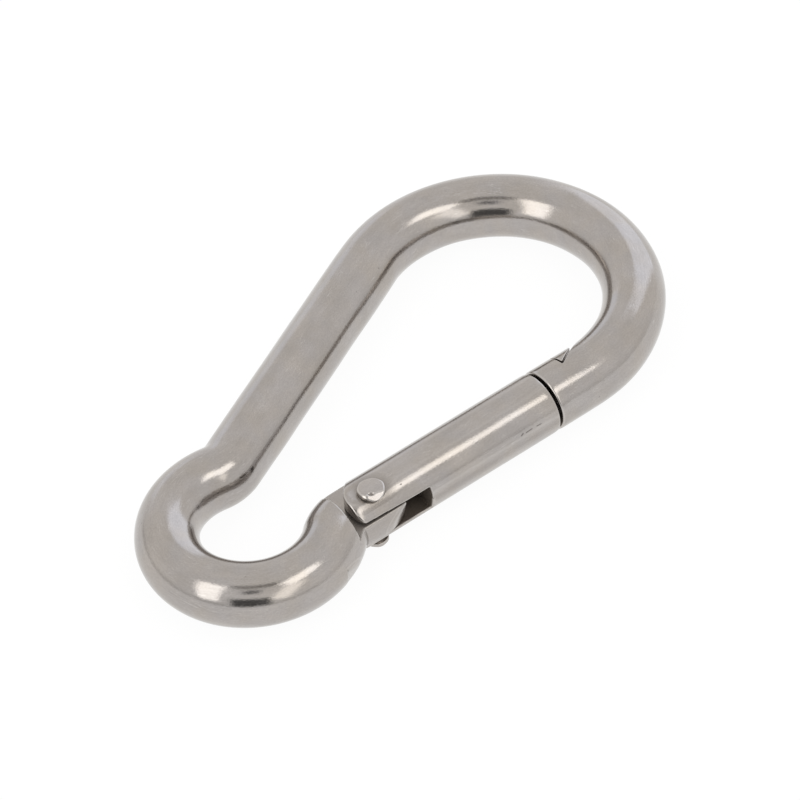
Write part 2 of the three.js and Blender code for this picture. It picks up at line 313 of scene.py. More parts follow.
def outside_nose(x, y):
    """Positive away from the nose, to keep the cuts made there off the rest of the bent bar."""
    half_length, half_width = 13, 9
    return np.maximum(np.abs(y) - half_width, np.abs(x - NOTCH_X) - half_length)


def body_field(x, y, z):
    """The bent bar, slightly flattened in its bends, with the tang at one end and the notched nose."""
    distance, along, side, bend = unbend(x, y)
    across = distance / (1 - FLATTENING * bend)
    bar = np.hypot(across, z) - STEEL_RADIUS - BODY_WAVES.height(along, side, z)

    away_from_hinge = outside_hinge(x, y)
    beside_tang = round_max(SHOULDER_X - x, TANG_HALF_THICKNESS - np.abs(z), 0.3)
    bar = round_max(bar, -np.maximum(beside_tang, away_from_hinge), 0.2)
    bar = round_max(bar, -np.maximum(-tang_bevel(x, y, z), away_from_hinge), 0.3)
    bar = round_max(bar, -np.maximum(-beyond_cam(x, y), away_from_hinge), 0.16)
    bar = round_max(bar, RIVET_HOLE_RADIUS - np.hypot(x, y - PIVOT_Y), 0.1)

    away_from_nose = outside_nose(x, y)
    worn = 0.12 * np.clip(NOSE_END_X + 0.8 - x, 0, 1) ** 2
    bar = bar + worn * (away_from_nose < 0)
    before_nose = np.maximum(x - NOSE_END_X, away_from_nose)
    bar = round_max(bar, -before_nose, 0.26)
    notch = round_max(NOTCH_X - x, notch_slope(x, y, 0), 0.4)
    bar = round_max(bar, -np.maximum(notch, away_from_nose), 0.17)
    tongue_way = round_max(np.abs(z) - TONGUE_HALF_THICKNESS - TONGUE_SIDE_GAP, NOTCH_FLOOR_Y - y, 0.3)
    tongue_way = np.maximum(tongue_way, np.maximum(x - NOTCH_X - 0.1, away_from_nose))
    return round_max(bar, -tongue_way, 0.17)


def slot_half_width(x):
    """The slot between the ears is slightly wider at its mouth."""
    narrowing = (SLOT_MOUTH_HALF_WIDTH - SLOT_HALF_WIDTH) / (SLOT_END_X - GATE_START_X)
    return SLOT_HALF_WIDTH + np.maximum(SLOT_END_X - x, 0) * narrowing


def gate_cavity(x, y, z):
    """The hinge slot, the window beside its end and the bore: negative where there is no steel."""
    beside = np.abs(z) - slot_half_width(x)
    slot = round_max(beside, x - SLOT_END_X, 0.3)
    window = round_max(round_max(beside, x - WINDOW_END_X, 0.2), y, 0.2)
    cone = (x - BORE_END_X + (np.hypot(y, z) - BORE_RADIUS) / 2) / math.hypot(1, 0.5)
    bore = np.maximum(np.hypot(y, z) - BORE_RADIUS, cone)
    return np.minimum(np.minimum(slot, window), bore)


def head_flank(x, y, z):
    """Positive where the cross-head's square side would catch on the nose as the gate swings."""
    nose_edge_y = np.sqrt(np.maximum(STEEL_RADIUS ** 2 - z ** 2, 0))
    return np.hypot(NOTCH_X, nose_edge_y - PIVOT_Y) + 0.2 - np.hypot(x, y - PIVOT_Y)


def latch_field(x, y, z):
    """The thin tongue and the triangular cross-head at its end."""
    within = np.hypot(y, z) - STEEL_RADIUS + 0.03
    head = round_max(head_flank(x, y, z), notch_slope(x, y, HEAD_GAP), 0.2)
    head = round_max(round_max(head, x - HEAD_END_X, 0.4), within, 0.15)
    foot = NOTCH_FLOOR_Y + HEAD_GAP + 0.1
    tongue = round_max(np.abs(z) - TONGUE_HALF_THICKNESS, foot - y, 0.2)
    tongue = np.maximum(tongue, np.maximum(GATE_END_X - 1 - x, x - NOTCH_X - 0.6))
    return round_min(head, round_max(tongue, within, 0.15), 0.15)


def ear_end(x, y):
    """Positive beyond the ears' rounded ends: square in the middle, slanted on the inner side."""
    slant = (y - EAR_SLANT_Y) * math.cos(EAR_SLANT) - (x - GATE_START_X) * math.sin(EAR_SLANT)
    inner_corner = round_max(GATE_START_X - x, slant, 0.9)
    outer_corner = round_max(GATE_START_X - x, -y - BAR_RADIUS, EAR_OUTER_CORNER)
    return np.maximum(inner_corner, outer_corner)


def gate_field(x, y, z):
    """The round gate, worn a little smaller at both ends, with its ears, seats, cavities and latch."""
    bar = np.hypot(y, z) - STEEL_RADIUS - GATE_WAVES.height(x, y, z)
    bar = bar + 0.07 * np.maximum(x - GATE_END_X + 1, 0) ** 2
    bar = bar + 0.14 * np.maximum(GATE_START_X + 1.2 - x, 0) ** 2
    bar = round_max(bar, ear_end(x, y), 0.24)
    bar = round_max(bar, x - GATE_END_X, 0.24)
    from_rivet = np.hypot(x, y - PIVOT_Y)
    outwards = np.clip((from_rivet - 1.8) / 2.8, 0, 1)
    seat_depth = BAR_RADIUS + 0.05 - HEAD_SEAT_Z
    seat = HEAD_SEAT_Z + seat_depth * outwards ** 2 * (3 - 2 * outwards)
    bar = round_max(bar, np.abs(z) - seat, 0.4)
    bar = round_max(bar, -gate_cavity(x, y, z), np.where(z > 0, 0.18, 0.5))
    bar = np.maximum(bar, RIVET_RADIUS - 0.03 - from_rivet)
    return np.minimum(bar, latch_field(x, y, z))


# Hammer dents in the upper head: direction in degrees, distance from the rivet's axis, half width outwards,
# around and down, and depth.
RIVET_DENTS = [
    (-127, 1.25, 0.3, 0.55, 0.3, 0.2),
    (62, 2.3, 0.5, 1.5, 0.6, 0.1),
    (150, 2.3, 0.5, 1.4, 0.6, 0.1),
]

# Flats that the hammer left on the upper head's edge: direction in degrees, distance of the flat's inner
# edge from the rivet's axis, and slope in degrees.
RIVET_FLATS = [
    (-106, 1.2, 36),
    (-148, 1.72, 45),
]


def rivet_field(x, y, z):
    """A pin with both ends hammered over into low flat-topped heads. The upper one is dented."""
    py = y - PIVOT_Y
    reach = np.hypot(x, py)
    turn = np.arctan2(py, x)
    uneven = 0.045 * np.sin(3 * turn + 0.6) + 0.025 * np.sin(7 * turn + 2) - 0.05
    height = np.abs(z)
    pin = np.maximum(reach - RIVET_RADIUS, height - HEAD_SEAT_Z - 0.3)
    rim = reach - np.where(z > 0, UPPER_HEAD_RADIUS, LOWER_HEAD_RADIUS) - uneven
    crown = height - RIVET_HALF_LENGTH + 0.02 + 0.01 * reach ** 2
    head = round_max(round_max(rim, crown, 0.26), HEAD_SEAT_Z + 0.04 - height, 0.12)
    for angle, place, across, around, down, depth in RIVET_DENTS:
        cos_angle = math.cos(math.radians(angle))
        sin_angle = math.sin(math.radians(angle))
        u = (x * cos_angle + py * sin_angle - place) / across
        v = (py * cos_angle - x * sin_angle) / around
        w = (z - RIVET_HALF_LENGTH + 0.05 + depth - down) / down
        dent = (1 - np.sqrt(u ** 2 + v ** 2 + w ** 2)) * down
        head = round_max(head, dent, 0.13)
    for angle, place, slope in RIVET_FLATS:
        outward = x * math.cos(math.radians(angle)) + py * math.sin(math.radians(angle))
        above = (z - RIVET_HALF_LENGTH) * math.cos(math.radians(slope))
        head = round_max(head, above + (outward - place) * math.sin(math.radians(slope)), 0.1)
    return round_min(pin, head, 0.05)


def plunger_field(x, y, z):
    """The plunger: a flat-faced head that slides in the bore, and a stem inside the spring."""
    reach = np.hypot(y, z)
    back = PLUNGER_FACE_X + PLUNGER_HEAD_LENGTH
    head = round_max(reach - PLUNGER_RADIUS, np.maximum(PLUNGER_FACE_X - x, x - back), 0.22)
    stem_end = back + PLUNGER_STEM_LENGTH
    stem = round_max(reach - PLUNGER_STEM_RADIUS, np.maximum(back - 1 - x, x - stem_end), 0.2)
    return round_min(head, stem, 0.25)


# ---- Meshes from fields ----

CUBE_CORNERS = np.array([(i, j, k) for i in (0, 1) for j in (0, 1) for k in (0, 1)])


def stepped(low, high, coarse, fine_spans=(), fine=None):
    """Grid lines from low to high at a coarse spacing, with a finer one within the given spans."""
    lines = [low]
    while lines[-1] < high:
        here = lines[-1] + coarse / 2
        in_fine = any(start <= here <= end for start, end in fine_spans)
        lines.append(lines[-1] + (fine if in_fine else coarse))
    return np.array(lines)


def surface_net(values, axes):
    """Corners and quads that cover the surface where the sampled values change sign."""
    inside = values < 0
    shape = tuple(n - 1 for n in values.shape)
    count = np.zeros(shape, np.int8)
    for corner in CUBE_CORNERS:
        count += inside[tuple(slice(c, c + n) for c, n in zip(corner, shape))]
    crossed = (count > 0) & (count < 8)
    cells = np.argwhere(crossed)
    number = np.full(shape, -1, np.int64)
    number[crossed] = np.arange(len(cells))

    total = np.zeros((len(cells), 3))
    crossings = np.zeros(len(cells))
    for axis in range(3):
        for corner in CUBE_CORNERS[CUBE_CORNERS[:, axis] == 0]:
            start = cells + corner
            end = start.copy()
            end[:, axis] += 1
            a = values[tuple(start.T)]
            b = values[tuple(end.T)]
            crosses = (a < 0) != (b < 0)
            share = np.where(crosses, a / np.where(crosses, a - b, 1), 0)
            point = np.stack([axes[k][start[:, k]] for k in range(3)], 1)
            point[:, axis] += share * (axes[axis][end[:, axis]] - axes[axis][start[:, axis]])
            total += point * crosses[:, None]
            crossings += crosses
    corners = total / crossings[:, None]

    quads = []
    for axis in range(3):
        u = (axis + 1) % 3
        v = (axis + 2) % 3
        lower = inside[tuple(slice(0, -1) if k == axis else slice(1, -1) for k in range(3))]
        upper = inside[tuple(slice(1, None) if k == axis else slice(1, -1) for k in range(3))]
        edges = np.argwhere(lower != upper)
        outward = lower[tuple(edges.T)]
        edges[:, u] += 1
        edges[:, v] += 1
        ring = []
        for du, dv in ((-1, -1), (0, -1), (0, 0), (-1, 0)):
            cell = edges.copy()
            cell[:, u] += du
            cell[:, v] += dv
            ring.append(number[tuple(cell.T)])
        ring = np.stack(ring, 1)
        quads.append(np.where(outward[:, None], ring, ring[:, ::-1]))
    return corners, np.concatenate(quads)


def gradient(field, points, step=0.01):
    """The field's slope at each point, which points straight out of the surface."""
    x, y, z = points.T
    slope = np.empty_like(points)
    for axis in range(3):
        shift = np.zeros(3)
        shift[axis] = step
        ahead = field(x + shift[0], y + shift[1], z + shift[2])
        behind = field(x - shift[0], y - shift[1], z - shift[2])
        slope[:, axis] = (ahead - behind) / (2 * step)
    return slope


def bending(field, points, step=0.12):
    """How sharply the surface bends at each point, in 1/mm: positive on edges, negative in corners."""
    x, y, z = points.T
    total = -6 * field(x, y, z)
    for shift in step * np.concatenate([np.eye(3), -np.eye(3)]):
        total += field(x + shift[0], y + shift[1], z + shift[2])
    return total / step ** 2


def settle(field, corners, quads, rounds):
    """Evens out the quads along the surface and moves every corner exactly onto it."""
    start = quads.ravel()
    end = np.roll(quads, -1, axis=1).ravel()
    size = len(corners)
    degree = np.bincount(start, minlength=size) + np.bincount(end, minlength=size)
    for _ in range(rounds):
        mean = np.empty_like(corners)
        for axis in range(3):
            total = np.bincount(start, corners[end, axis], size)
            total += np.bincount(end, corners[start, axis], size)
            mean[:, axis] = total / degree
        slope = gradient(field, corners)
        steepness = np.maximum((slope ** 2).sum(1), 0.25)
        shift = mean - corners
        shift -= slope * ((shift * slope).sum(1) / steepness)[:, None]
        corners = corners + 0.6 * shift
        offset = np.clip(field(*corners.T), -0.1, 0.1)
        corners = corners - slope * (offset / steepness)[:, None]
    for _ in range(2):
        slope = gradient(field, corners)
        offset = np.clip(field(*corners.T), -0.1, 0.1)
        corners = corners - slope * (offset / np.maximum((slope ** 2).sum(1), 0.25))[:, None]
    return corners


def add_attribute(mesh, name, values):
    """One number, or one vector, for each corner of the mesh, for the materials to read."""
    is_vector = values.ndim == 2
    attribute = mesh.attributes.new(name, "FLOAT_VECTOR" if is_vector else "FLOAT", "POINT")
    attribute.data.foreach_set("vector" if is_vector else "value", values.astype(np.float32).ravel())


def mesh_object(name, corners, faces, normals):
    """An object from points in the gate's frame, with the given smooth normals."""
    mesh = bpy.data.meshes.new(name)
    mesh.from_pydata(in_row_frame(corners).tolist(), [], faces.tolist())
    mesh.polygons.foreach_set("use_smooth", np.ones(len(faces), bool))
    turned = (in_row_frame(normals) - GATE_ORIGIN) / MM
    turned /= np.linalg.norm(turned, axis=1)[:, None]
    mesh.normals_split_custom_set_from_vertices(turned.tolist())
    piece = bpy.data.objects.new(name, mesh)
    bpy.context.scene.collection.objects.link(piece)
    return piece


def solid_piece(name, field, axes, place, rounds=10):
    """A piece from its field. place gives each corner its position on the straight bar it was made from."""
    x, y, z = axes
    values = field(x[:, None, None], y[None, :, None], z[None, None, :])
    values = np.broadcast_to(values, (len(x), len(y), len(z)))
    corners, quads = surface_net(values, axes)
    corners = settle(field, corners, quads, rounds)
    piece = mesh_object(name, corners, quads, gradient(field, corners))
    add_attribute(piece.data, "bar_place", place(corners))
    add_attribute(piece.data, "edge", np.clip(bending(field, corners) / 3, -1, 1))
    return piece, corners


# ---- Pieces ----

# Each piece's grid reaches a little beyond it on all sides, and is finer where the piece has small features.


def make_body():
    axes = (
        stepped(-33.6, 67.1, 0.3, [(-8.5, 6), (31.5, 45.5)], 0.15),
        stepped(-10.4, 48.1, 0.3, [(-5.3, 5.4)], 0.15),
        stepped(-5.3, 5.3, 0.17),
    )

    def place(corners):
        _, along, side, _ = unbend(corners[:, 0], corners[:, 1])
        return np.stack([along, side, corners[:, 2]], 1)

    piece, corners = solid_piece("hook_body", body_field, axes, place)
    add_attribute(piece.data, "grease_and_shade", body_grease_and_shade(corners))
    return piece


def body_grease_and_shade(corners):
    """A thin greasy brown film on the tang's flat sides, with painted shade over it that deepens towards the
    outside of the hook.
    """
    x, y, z = corners.T
    height = np.abs(z)
    flat = np.clip((height - TANG_HALF_THICKNESS + 0.12) / 0.08, 0, 1)
    flat = flat * (height < TANG_HALF_THICKNESS + 0.25)
    # 0.12 of this is the greasy film; the rest is painted shade, deepening towards the outside of the hook.
    thickness = 0.12 + 0.5 * np.clip((0.8 - y) / 2.5, 0, 1)
    return flat * (x > SHOULDER_X - 0.3) * (x < SLOT_END_X) * (np.abs(y) < 6) * thickness


def gate_grease_and_shade(corners):
    """Painted shade in the slot, window and bore, on the ears' ends and on the tongue in the gap, and a
    greasy brown film round the rivet.
    """
    x, y, z = corners.T
    height = np.abs(z)
    # Painted shade, nearly black, on the walls of the slot, window and bore.
    cavity = 0.92 * np.clip(1.1 - np.abs(gate_cavity(x, y, z)) / 0.1, 0, 1) * (x < BORE_END_X + 2)
    # Painted shade on the ears' end faces.
    ends = 0.6 * np.clip(1.3 - np.abs(ear_end(x, y)) / 0.08, 0, 1) * np.clip((4.2 - height) / 1.2, 0, 1)
    behind_head = np.clip((NOTCH_X - 0.2 - x) / 0.3, 0, 1)
    # Painted shade on the tongue, in the gap before the nose.
    tongue = 0.7 * np.clip((x - GATE_END_X + 0.1) / 0.2, 0, 1) * behind_head
    from_rivet = np.hypot(x, y - PIVOT_Y)
    # A greasy brown film round the rivet.
    around_rivet = 0.34 * np.clip((HEAD_SEAT_RADIUS + 0.7 - from_rivet) / 1.6, 0, 1) * (height > 3.4)
    return np.max([cavity, ends, tongue, around_rivet], axis=0)


def moved_by(shift):
    """Places a turned piece's corners further along the straight bar."""
    return lambda points: points + [shift, 0, 0]


def make_gate():
    axes = (
        stepped(-4.5, 43.9, 0.17, [(-4.6, 9), (31.6, 43.9)], 0.13),
        stepped(-5.2, 5.2, 0.14),
        stepped(-5.2, 5.2, 0.14),
    )
    piece, corners = solid_piece("gate_bar", gate_field, axes, moved_by(GATE_PLACE))
    add_attribute(piece.data, "grease_and_shade", gate_grease_and_shade(corners))
    return piece


def make_rivet():
    axes = (
        stepped(-2.5, 2.5, 0.075),
        stepped(PIVOT_Y - 2.5, PIVOT_Y + 2.5, 0.075),
        stepped(-5.55, 5.55, 0.3, [(-5.6, -4), (4, 5.6)], 0.075),
    )
    piece, corners = solid_piece("hinge_rivet_pin", rivet_field, axes, moved_by(RIVET_PLACE))
    # Painted shade on the pin's shank, inside the hinge.
    add_attribute(piece.data, "grease_and_shade", 0.7 * np.clip((4.2 - np.abs(corners[:, 2])) / 0.3, 0, 1))
    return piece


def make_plunger():
    stem_end = PLUNGER_FACE_X + PLUNGER_HEAD_LENGTH + PLUNGER_STEM_LENGTH
    across = stepped(-2.2, 2.2, 0.12)
    axes = (stepped(PLUNGER_FACE_X - 0.4, stem_end + 0.4, 0.15), across, across)
    piece, corners = solid_piece("plunger_pin", plunger_field, axes, moved_by(PLUNGER_PLACE))
    add_attribute(piece.data, "grease_and_shade", np.full(len(corners), 0.35))
    return piece


def make_spring():
    """A compression spring with closed end coils: a round wire swept along its helix."""
    sides = 14
    steps_per_turn = 36
    inset = SPRING_WIRE_RADIUS + SPRING_END_GAP
    start_x = PLUNGER_FACE_X + PLUNGER_HEAD_LENGTH + inset
    end_x = BORE_END_X - inset
    turn = np.linspace(0, SPRING_TURNS, SPRING_TURNS * steps_per_turn + 1)
    closed = np.minimum(turn, SPRING_CLOSED_TURNS) + np.maximum(turn - SPRING_TURNS + SPRING_CLOSED_TURNS, 0)
    open_pitch = end_x - start_x - 2 * SPRING_CLOSED_TURNS * SPRING_CLOSED_PITCH
    open_pitch /= SPRING_TURNS - 2 * SPRING_CLOSED_TURNS
    angle = turn * 2 * math.pi
    centre = np.stack([
        start_x + closed * SPRING_CLOSED_PITCH + (turn - closed) * open_pitch,
        SPRING_COIL_RADIUS * np.cos(angle),
        SPRING_COIL_RADIUS * np.sin(angle),
    ], 1)
    heading = np.gradient(centre, axis=0)
    heading /= np.linalg.norm(heading, axis=1)[:, None]
    outward = np.stack([np.zeros_like(angle), np.cos(angle), np.sin(angle)], 1)
    across = np.cross(heading, outward)

    from_end = np.minimum(turn, SPRING_TURNS - turn) * 2 * math.pi * SPRING_COIL_RADIUS
    wire = SPRING_WIRE_RADIUS * np.sqrt(np.clip(from_end / SPRING_WIRE_RADIUS + 0.2, 0, 1))
    around = np.arange(sides) * 2 * math.pi / sides
    normals = outward[:, None] * np.cos(around)[None, :, None]
    normals = normals + across[:, None] * np.sin(around)[None, :, None]
    points = centre[:, None] + normals * wire[:, None, None]
    rings = len(turn)
    count = rings * sides
    points = np.concatenate([points.reshape(-1, 3), centre[[0, -1]]])
    normals = np.concatenate([normals.reshape(-1, 3), -heading[[0]], heading[[-1]]])

    faces = []
    for ring in range(rings - 1):
        for k in range(sides):
            a, b = ring * sides + k, ring * sides + (k + 1) % sides
            faces.append((a, a + sides, b + sides, b))
    for k in range(sides):
        following = (k + 1) % sides
        faces.append((count, k, following))
        faces.append((count + 1, (rings - 1) * sides + following, (rings - 1) * sides + k))

    mesh = bpy.data.meshes.new("return_spring_coil")
    mesh.from_pydata(in_row_frame(points).tolist(), [], faces)
    mesh.polygons.foreach_set("use_smooth", np.ones(len(faces), bool))
    piece = bpy.data.objects.new("return_spring_coil", mesh)
    bpy.context.scene.collection.objects.link(piece)
    straight = np.repeat(turn * 2 * math.pi * SPRING_COIL_RADIUS, sides)
    place = np.stack([straight, np.tile(np.cos(around), rings), np.tile(np.sin(around), rings)], 1)
    add_attribute(mesh, "bar_place", np.concatenate([place, np.zeros((2, 3))]))
    add_attribute(mesh, "edge", np.zeros(len(points)))
    add_attribute(mesh, "grease_and_shade", np.full(len(points), 0.3))
    return piece


# ---- Materials ----


class Nodes:
    """Short calls for building a node tree."""

    def __init__(self, tree):
        self.tree = tree

    def add(self, kind, inputs=None, **settings):
        node = self.tree.nodes.new(kind)
        for key, value in settings.items():
            setattr(node, key, value)
        for key, value in (inputs or {}).items():
            self.feed(node.inputs[key], value)
        return node

    def feed(self, socket, value):
        if isinstance(value, bpy.types.NodeSocket):
            self.tree.links.new(value, socket)
        else:
            socket.default_value = value

    def math(self, operation, a, b=0.0):
        return self.add("ShaderNodeMath", {0: a, 1: b}, operation=operation).outputs[0]

    def product(self, a, b):
        return self.math("MULTIPLY", a, b)

    def total(self, a, b):
        return self.math("ADD", a, b)

    def larger(self, a, b):
        return self.math("MAXIMUM", a, b)

    def remap(self, value, low, high, to_low, to_high):
        inputs = {"Value": value, "From Min": low, "From Max": high, "To Min": to_low, "To Max": to_high}
        return self.add("ShaderNodeMapRange", inputs).outputs["Result"]

    def noise(self, vector, scale, detail=2.0, roughness=0.5):
        inputs = {"Vector": vector, "Scale": scale, "Detail": detail, "Roughness": roughness}
        return self.add("ShaderNodeTexNoise", inputs).outputs["Fac"]

    def scaled(self, vector, scale, turn=(0, 0, 0)):
        inputs = {"Vector": vector, "Scale": scale, "Rotation": turn}
        return self.add("ShaderNodeMapping", inputs).outputs["Vector"]

    def mix(self, factor, a, b, blend="MIX"):
        node = self.add("ShaderNodeMix", data_type="RGBA", blend_type=blend)
        self.feed(node.inputs[0], factor)
        self.feed(node.inputs[6], a)
        self.feed(node.inputs[7], b)
        return node.outputs[2]

    def attribute(self, name, output="Fac"):
        return self.add("ShaderNodeAttribute", attribute_name=name).outputs[output]

    def vector(self, operation, a, b=(0, 0, 0), output="Vector", **inputs):
        return self.add("ShaderNodeVectorMath", {0: a, 1: b, **inputs}, operation=operation).outputs[output]

    def groove(self, place, start, end, width):
        """One on the line between two places, falling to nothing at half the width beside it."""
        along = Vector(end) - Vector(start)
        heading = along.normalized()
        offset = self.vector("SUBTRACT", place, start)
        reach = self.vector("DOT_PRODUCT", offset, heading, "Value")
        reach = self.math("MINIMUM", self.larger(reach, 0.0), along.length)
        nearest = self.vector("SCALE", heading, Scale=reach)
        distance = self.vector("DISTANCE", offset, nearest, "Value")
        return self.remap(distance, width / 2, width / 6, 0.0, 1.0)


# The brown of a greasy film, also used to paint shade.
GREASE_AND_SHADE_COLOUR = (0.095, 0.074, 0.056, 1)
PIT_COLOUR = (0.06, 0.05, 0.045, 1)
SCRATCH_COLOUR = (0.72, 0.7, 0.68, 1)
WORN_EDGE_COLOUR = (0.68, 0.65, 0.62, 1)
BUMP_HEIGHT = 3e-6

# Dark nicks and pits on the gate: start, end and width, on the straight bar.
GATE_NICKS = [
    ((GATE_PLACE + 27.9, -4.58, 1.6), (GATE_PLACE + 28.7, -4.6, 1.55), 0.2),
    ((GATE_PLACE + 25.9, -4.6, 1.6), (GATE_PLACE + 27.0, -4.6, 1.65), 0.22),
    ((GATE_PLACE + 25.0, -4.6, 1.55), (GATE_PLACE + 25.35, -4.6, 1.75), 0.3),
    ((GATE_PLACE + 4.3, -2.62, 4.12), (GATE_PLACE + 4.4, -2.6, 4.12), 0.2),
]

# Bright scratches on the body beside the hinge: start and end on the surface, in the gate's frame.
SHOULDER_SCRATCHES = [
    ((-8.3, -3.6, 3.3), (-7.2, -3.2, 3.7)),
    ((-7.2, -3.2, 3.7), (-6.6, -3.3, 3.6)),
    ((-8.9, -1.6, 4.6), (-7.4, -2.6, 4.1)),
    ((-7.0, -4.3, 2.3), (-6.1, -3.9, 2.9)),
]
SCRATCH_WIDTH = 0.28


def on_bar(point):
    """A point of the body, in the gate's frame, as its place on the straight bar it was bent from."""
    _, along, side, _ = unbend(np.array([point[0]]), np.array([point[1]]))
    return Vector((along[0], side[0], point[2]))


def scratch_pattern(nodes, place, lines):
    """Fine lengthwise scratches in patches, and the given single ones."""
    noise = nodes.noise(nodes.scaled(place, (0.3, 4.0, 4.0), (0.0, 0.5, 0.9)), 1.0, 1.0)
    from_line = nodes.math("ABSOLUTE", nodes.math("SUBTRACT", noise, 0.5))
    patches = nodes.remap(nodes.noise(place, 0.3, 1.0), 0.5, 0.62, 0.0, 1.0)
    scratches = nodes.product(nodes.remap(from_line, 0.0, 0.015, 1.0, 0.0), patches)
    for start, end in lines:
        scratches = nodes.larger(scratches, nodes.groove(place, start, end, SCRATCH_WIDTH))
    return scratches


def pit_pattern(nodes, place, pitting, nicks):
    """A scatter of tiny pits, and the given nicks."""
    cells = nodes.add("ShaderNodeTexVoronoi", {"Vector": place, "Scale": 0.8, "Randomness": 1.0})
    chosen = nodes.add("ShaderNodeSeparateColor", {"Color": cells.outputs["Color"]}).outputs["Red"]
    size = nodes.remap(chosen, 0.8, 1.0, 0.0, 0.12)
    pits = nodes.remap(nodes.math("SUBTRACT", size, cells.outputs["Distance"]), 0.0, 0.05, 0.0, pitting)
    for start, end, width in nicks:
        pits = nodes.larger(pits, nodes.groove(place, start, end, width))
    return pits


def steel_tone(nodes, place, colour, brushing, clouds, streaks, speckle):
    """The steel's colour, with cloudy, brushed and speckled light and dark, and warm and cool patches."""
    tone = nodes.remap(clouds, 0.3, 0.7, 0.93, 1.06)
    contrast = 0.035 * brushing
    tone = nodes.product(tone, nodes.remap(streaks, 0.3, 0.7, 1 - contrast, 1 + contrast))
    tone = nodes.product(tone, nodes.remap(speckle, 0.3, 0.7, 0.93, 1.06))
    grey = nodes.add("ShaderNodeCombineColor", {0: tone, 1: tone, 2: tone}).outputs[0]
    warmth = nodes.remap(nodes.noise(place, 0.22, 2.0), 0.35, 0.65, 0.0, 1.0)
    tint = nodes.mix(warmth, (1.0, 0.985, 0.96, 1), (0.99, 0.995, 1.01, 1))
    return nodes.mix(1.0, nodes.mix(1.0, (*colour, 1), tint, "MULTIPLY"), grey, "MULTIPLY")


def steel(name, colour, roughness, brushing, pitting=0.6, nicks=(), scratch_lines=()):
    """Satin-polished stainless steel: fine lengthwise brushing, speckle, scratches, pits, bright edges, a
    greasy brown film, and painted shade in concave corners and recesses.
    """
    material = bpy.data.materials.new(name)
    material.use_nodes = True
    material.node_tree.nodes.clear()
    nodes = Nodes(material.node_tree)
    place = nodes.attribute("bar_place", "Vector")
    edge = nodes.attribute("edge")
    grease_and_shade = nodes.attribute("grease_and_shade")

    clouds = nodes.noise(nodes.scaled(place, (0.16, 0.4, 0.4)), 1.0, 3.0, 0.6)
    streaks = nodes.noise(nodes.scaled(place, (0.16, 4.2, 4.2)), 1.0, 2.0, 0.6)
    speckle = nodes.noise(nodes.scaled(place, (3.2, 5.0, 5.0)), 1.0, 2.0, 0.7)
    ripple = nodes.noise(nodes.scaled(place, (0.7, 1.3, 1.3)), 1.0, 1.0)
    scratches = scratch_pattern(nodes, place, scratch_lines)
    pits = pit_pattern(nodes, place, pitting, nicks)

    # Painted shade: concave corners are darkened, dulled and browned in patches. Each piece's per-corner
    # values add a greasy brown film and more painted shade.
    corner_shade = nodes.remap(edge, -0.6, -0.15, 0.7, 0.0)
    corner_shade = nodes.product(corner_shade, nodes.remap(clouds, 0.2, 0.6, 0.5, 1.0))
    smeared_grease_and_shade = nodes.product(grease_and_shade, nodes.remap(speckle, 0.2, 0.8, 0.8, 1.1))
    grease_and_shade_mask = nodes.larger(corner_shade, smeared_grease_and_shade)

    base = steel_tone(nodes, place, colour, brushing, clouds, streaks, speckle)
    base = nodes.mix(nodes.remap(edge, 0.35, 1.0, 0.0, 0.3), base, WORN_EDGE_COLOUR)
    base = nodes.mix(nodes.product(scratches, 0.35), base, SCRATCH_COLOUR)
    base = nodes.mix(nodes.product(pits, 0.7), base, PIT_COLOUR)
    base = nodes.mix(grease_and_shade_mask, base, GREASE_AND_SHADE_COLOUR)

    rough = nodes.total(roughness, nodes.remap(clouds, 0.3, 0.7, -0.02, 0.03))
    rough = nodes.total(rough, nodes.remap(speckle, 0.3, 0.7, -0.02, 0.07))
    rough = nodes.total(rough, nodes.product(grease_and_shade_mask, 0.3))

    height = nodes.product(streaks, 0.3 * brushing)
    height = nodes.total(height, nodes.product(speckle, 3.4))
    height = nodes.total(height, nodes.product(ripple, 1.6))
    height = nodes.math("SUBTRACT", height, nodes.product(scratches, 0.3))
    height = nodes.math("SUBTRACT", height, nodes.product(pits, 8.0))
    bump = nodes.add("ShaderNodeBump", {"Strength": 1.0, "Distance": BUMP_HEIGHT, "Height": height})

    shader = nodes.add("ShaderNodeBsdfPrincipled", {
        "Base Color": base,
        "Metallic": nodes.math("SUBTRACT", 1.0, nodes.product(grease_and_shade_mask, 0.75)),
        "Roughness": rough,
        "Normal": bump.outputs["Normal"],
    })
    nodes.add("ShaderNodeOutputMaterial", {"Surface": shader.outputs["BSDF"]})
    return material


# ---- Studio ----

CAMERA_AZIMUTH = -47.6
CAMERA_ELEVATION = 45.5
CAMERA_ROLL = math.radians(5.5)
CAMERA_DISTANCE = 0.7575
CAMERA_LENS = 229.95
CAMERA_TARGET = Vector((0.00005, -0.00119, PIVOT[2]))

